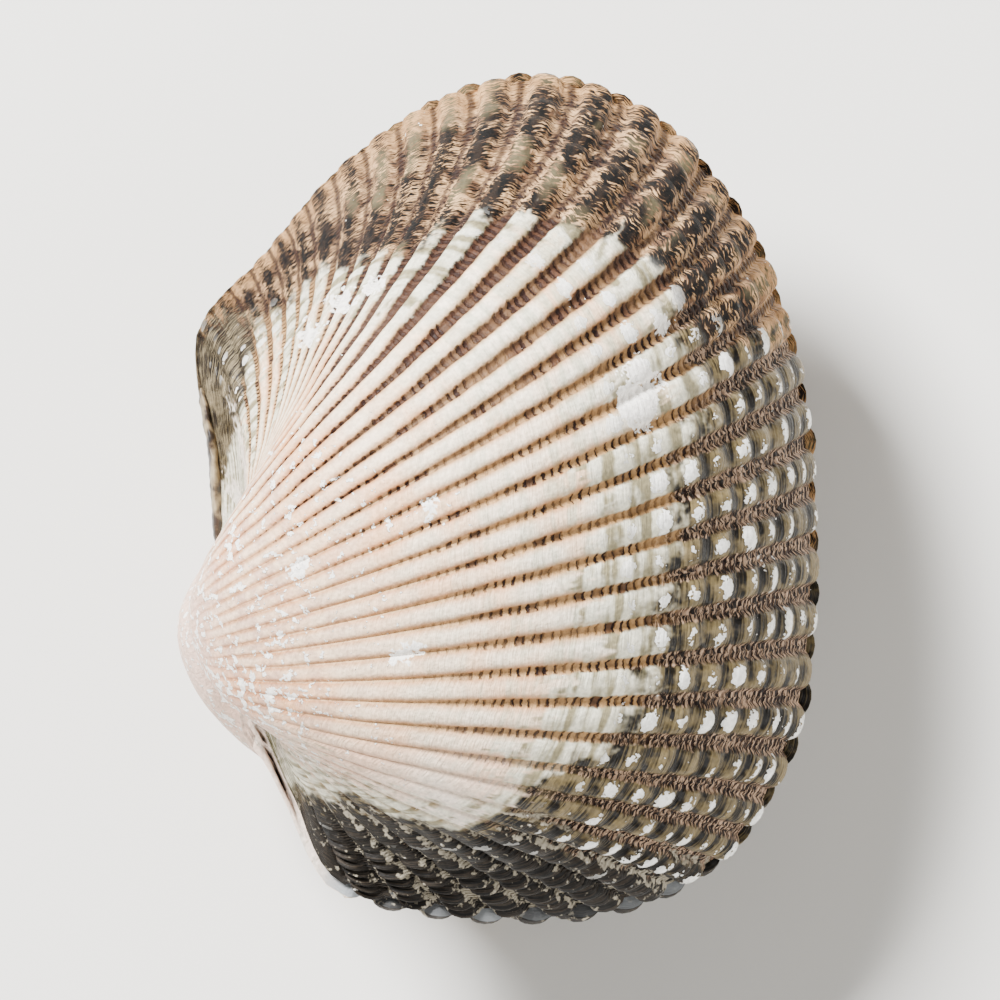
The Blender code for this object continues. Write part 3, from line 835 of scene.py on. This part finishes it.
    # the horny coat behind: tan strokes, thick on the ribs' sides, over near black crests
    coatNeed = add(fit, even["coatNeed"], {0: aside})
    coatOver = strayed("coat", add(maths, minus, {0: streak["stroke"], 1: coatNeed}))
    golden = add(fit, soft["golden"], {0: back})
    coatOver = add(maths, more["goldenCoat"], {0: golden, 2: coatOver})
    coatTan = add(mix, pair["coatTan"], {0: add(fit, soft["coatTan"], {0: patch})})
    coatTan = add(mix, over["golden"], {0: golden, 6: coatTan})
    coatDark = add(mix, pair["coatDark"], {0: add(fit, soft["coatDark"], {0: streak["thread"]})})
    bare = add(maths, times, {0: add(fit, soft["bare"], {0: wide}),
                              1: add(fit, soft["bareAside"], {0: aside})})
    coatDark = add(mix, over["bare"], {0: bare, 6: coatDark})
    coat = add(mix, tint, {0: add(fit, soft["coat"], {0: coatOver}), 6: coatDark, 7: coatTan})
    coat = add(mix, over["tick"], {0: add(fit, soft["coatSeam"], {0: ragged}), 6: coat})

    # the rear corner: fine growth lines on narrow ribs
    cornerLine = add(fit, soft["corner"], {0: strayed("corner", streak["line"])})
    corner = add(mix, pair["corner"], {0: cornerLine})

    # one over the other
    edge = add(maths, {**times, 1: look["mottledEdge"]}, {0: offs[1]})
    threadOff = add(maths, half, {0: streak["thread"]})
    edge = add(maths, more["threadEdge"], {0: threadOff, 2: edge})
    ribEnd = add(maths, {**product, 1: look["ribEnd"][0], 2: look["ribEnd"][1]}, {0: ribDice})
    ribEnd = add(maths, times, {0: ribEnd, 1: add(fit, soft["ribEnd"], {0: back})})
    paleEdge = add(maths, plus, {0: field["pale"], 1: add(maths, plus, {0: edge, 1: ribEnd})})
    paleMask = add(fit, soft["paleZone"], {0: paleEdge})
    glassEdge = add(maths, more["glassDice"], {
        0: ribDice, 2: strayed("glassEdge", field["glassy"])})
    glassMask = add(maths, times, {0: add(fit, soft["glassZone"], {0: glassEdge}),
                                   1: add(fit, soft["glassEnd"], {0: field["glassy"]})})
    coatMask, frontMask, cornerMask = (
        add(fit, soft[title + "Zone"], {0: add(maths, plus, {0: field[title], 1: edge})})
        for title in ("fibre", "front", "corner"))
    colour = fresh
    for mask, layer in ((frontMask, front), (coatMask, coat), (cornerMask, corner), (glassMask, glass),
                        (paleMask, cream)):
        colour = add(mix, tint, {0: mask, 6: colour, 7: layer})
    # the white ovals: partly the shell's white, partly painted highlight
    colour = add(mix, over["oval"], {0: oval, 6: colour})

    # chalky flakes, thick by the beak
    chipNeed = add(fit, soft["chipPlace"], {0: back})
    chipOver = strayed("chip", add(maths, minus, {0: chip, 1: chipNeed}))
    chipMask = add(fit, soft["chip"], {0: chipOver})
    chalkMask = add(fit, soft["chalk"], {0: strayed("chalk", field["chalk"])})
    white = add(maths, {"operation": "MAXIMUM"}, {0: chipMask, 1: chalkMask})
    colour = add(mix, over["chalk"], {0: white, 6: colour})
    speck = add(fit, even["speck"], {0: grain})
    speckle = add("CombineColor", {}, {0: speck, 1: speck, 2: speck})
    colour = add(mix, {**shade, 0: 1.0}, {6: colour, 7: speckle})

    # the rim: pearl inside, horn-stained along the hinge, near black in the slit as painted shade
    hingeTint = add(mix, pair["hinge"], {0: add(fit, soft["hinge"], {0: patch})})
    colour = add(mix, over["pearl"], {0: field["inside"], 6: colour})
    colour = add(mix, tint, {0: field["hinge"], 6: colour, 7: hingeTint})
    colour = add(mix, over["slit"], {0: field["slit"], 6: colour})

    # gloss: ovals and fresh ribs shine, the coat and the chalk don't
    rough = add(fit, even["rough"], {0: paleMask})
    masks = {"front": frontMask, "coat": coatMask, "groove": groove, "oval": oval, "white": white,
             "inside": field["inside"]}
    for title, value in look["roughness"].items():
        rough = add(mix, {"data_type": "FLOAT", 3: value}, {0: masks[title], 2: rough})

    # fine relief: growth lines, coat strokes, ticks, ovals, chips and grain
    heights = look["heights"]
    relief = add(maths, {**times, 1: heights["line"]}, {0: streak["line"]})
    coatPlace = add(fit, soft["fibreZone"], {0: field["fibre"]})
    for title, factor, by in (("stroke", streak["stroke"], coatPlace), ("tick", rungDark, groove),
                              ("oval", oval, oval)):
        raised = add(maths, times, {0: factor, 1: add(maths, {**times, 1: heights[title]}, {0: by})})
        relief = add(maths, plus, {0: relief, 1: raised})
    relief = add(maths, more["chipHeight"], {0: chipMask, 2: relief})
    bump = add("Bump", {"Strength": 1.0, "Distance": mm}, {"Height": strayed("relief", relief)})
    shader = add("BsdfPrincipled", {"IOR": look["ior"]},
                 {"Base Color": colour, "Roughness": rough, "Normal": bump})
    add("OutputMaterial", {}, {0: shader})
    return material


# Dried horn, dark and fibrous. It gives the ligament dark and pale bits with a dull gloss.
horn = {
    "patch": 1.2,  # mm
    "detail": 4.0,
    "colours": ((0.4, "#0d0805"), (0.48, "#33251a"), (0.56, "#78684e"), (0.72, "#a39577")),
    "rough": {1: 0.3, 2: 0.7, 3: 0.35, 4: 0.6},
    "height": 0.05,  # mm
    "ior": 1.54,
}


def makeLigamentFinish():
    material, add = newMaterial("driedHorn")
    place = (add("TexCoord"), "Object")
    patch = add("TexNoise", {"Scale": perMetre / horn["patch"], "Detail": horn["detail"]},
                {0: place})
    colour = add("ValToRGB", {"ramp": horn["colours"]}, {0: patch})
    rough = add("MapRange", horn["rough"], {0: patch})
    bump = add("Bump", {"Strength": 1.0, "Distance": horn["height"] * mm}, {"Height": patch})
    shader = add("BsdfPrincipled", {"IOR": horn["ior"]},
                 {"Base Color": colour, "Roughness": rough, "Normal": bump})
    add("OutputMaterial", {}, {0: shader})
    return material


shellFinish = makeShellFinish()
for piece, node in ((leftShell, "left_valve"), (rightShell, "right_valve")):
    piece.data.materials.append(shellFinish)
    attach(piece, "root")
    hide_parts(node)
ligamentBand.data.materials.append(makeLigamentFinish())
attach(ligamentBand, "root")
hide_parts("ligament")
print("finishes set")


# Floor, light and camera
studio = {
    "floor": "#dcdad5",
    "floorSize": 3.0,
    "floorRough": 0.9,
    "world": 0.36,
    "air": "#f7f3ec",
    "lens": 900.0,  # a long lens, so the view is nearly without perspective
    "sensor": 36.0,
    "pictureWidth": 58.34,  # mm across the picture in the plane of the seam
    "clip": (0.1, 3.0),  # shares of the camera's distance
    "aim": (0.146, -0.03, 0.0),  # the picture's middle, in the pair's frame, mm
    "lean": (-0.07, -0.1, 1.0),  # towards the camera, in the pair's frame
    # lights: place in picture terms (right, up, towards the camera) in mm, size in mm, power in watts
    "lights": (((-300, 330, 340), 200, 16.0), ((380, -60, 420), 400, 2.0), ((-60, -420, 260), 300, 1.0)),
}


def makeStudio():
    bpy.ops.object.select_all(action="DESELECT")
    bpy.ops.mesh.primitive_plane_add(size=studio["floorSize"])
    floor = bpy.context.object
    floor.name = "paleFloor"
    material = bpy.data.materials.new("mattPaper")
    material.use_nodes = True
    shader = material.node_tree.nodes["Principled BSDF"]
    shader.inputs["Base Color"].default_value = fromHex(studio["floor"])
    shader.inputs["Roughness"].default_value = studio["floorRough"]
    floor.data.materials.append(material)
    world = bpy.data.worlds.new("softRoom")
    world.use_nodes = True
    world.node_tree.nodes["Background"].inputs["Color"].default_value = fromHex(studio["air"])
    world.node_tree.nodes["Background"].inputs["Strength"].default_value = studio["world"]
    bpy.context.scene.world = world

    origin, aim, lean, up = (settle(np.array(v, float)) for v in (
        (0, 0, 0), studio["aim"], studio["lean"], (0, 1, 0)))
    towards = Vector(lean - origin).normalized()
    right = Vector(up - origin).cross(towards).normalized()
    above = towards.cross(right)
    turn = Matrix((right, above, towards)).transposed()
    target = Vector(aim)
    for (across, high, near), size, power in studio["lights"]:
        spot = target + (right * across + above * high + towards * near) * mm
        light = bpy.data.lights.new("softBox", "AREA")
        light.size = size * mm
        light.energy = power
        lamp = bpy.data.objects.new("softBox", light)
        lamp.location = spot
        lamp.rotation_euler = (target - spot).to_track_quat("-Z", "Y").to_euler()
        bpy.context.scene.collection.objects.link(lamp)
    camera = bpy.data.objects.new("camera", bpy.data.cameras.new("camera"))
    camera.data.lens = studio["lens"]
    camera.data.sensor_width = studio["sensor"]
    away = studio["lens"] / studio["sensor"] * studio["pictureWidth"] * mm
    camera.data.clip_start, camera.data.clip_end = (away * share for share in studio["clip"])
    camera.location = target + towards * away
    camera.rotation_euler = turn.to_euler()
    bpy.context.scene.collection.objects.link(camera)
    bpy.context.scene.camera = camera


makeStudio()
print("studio set")
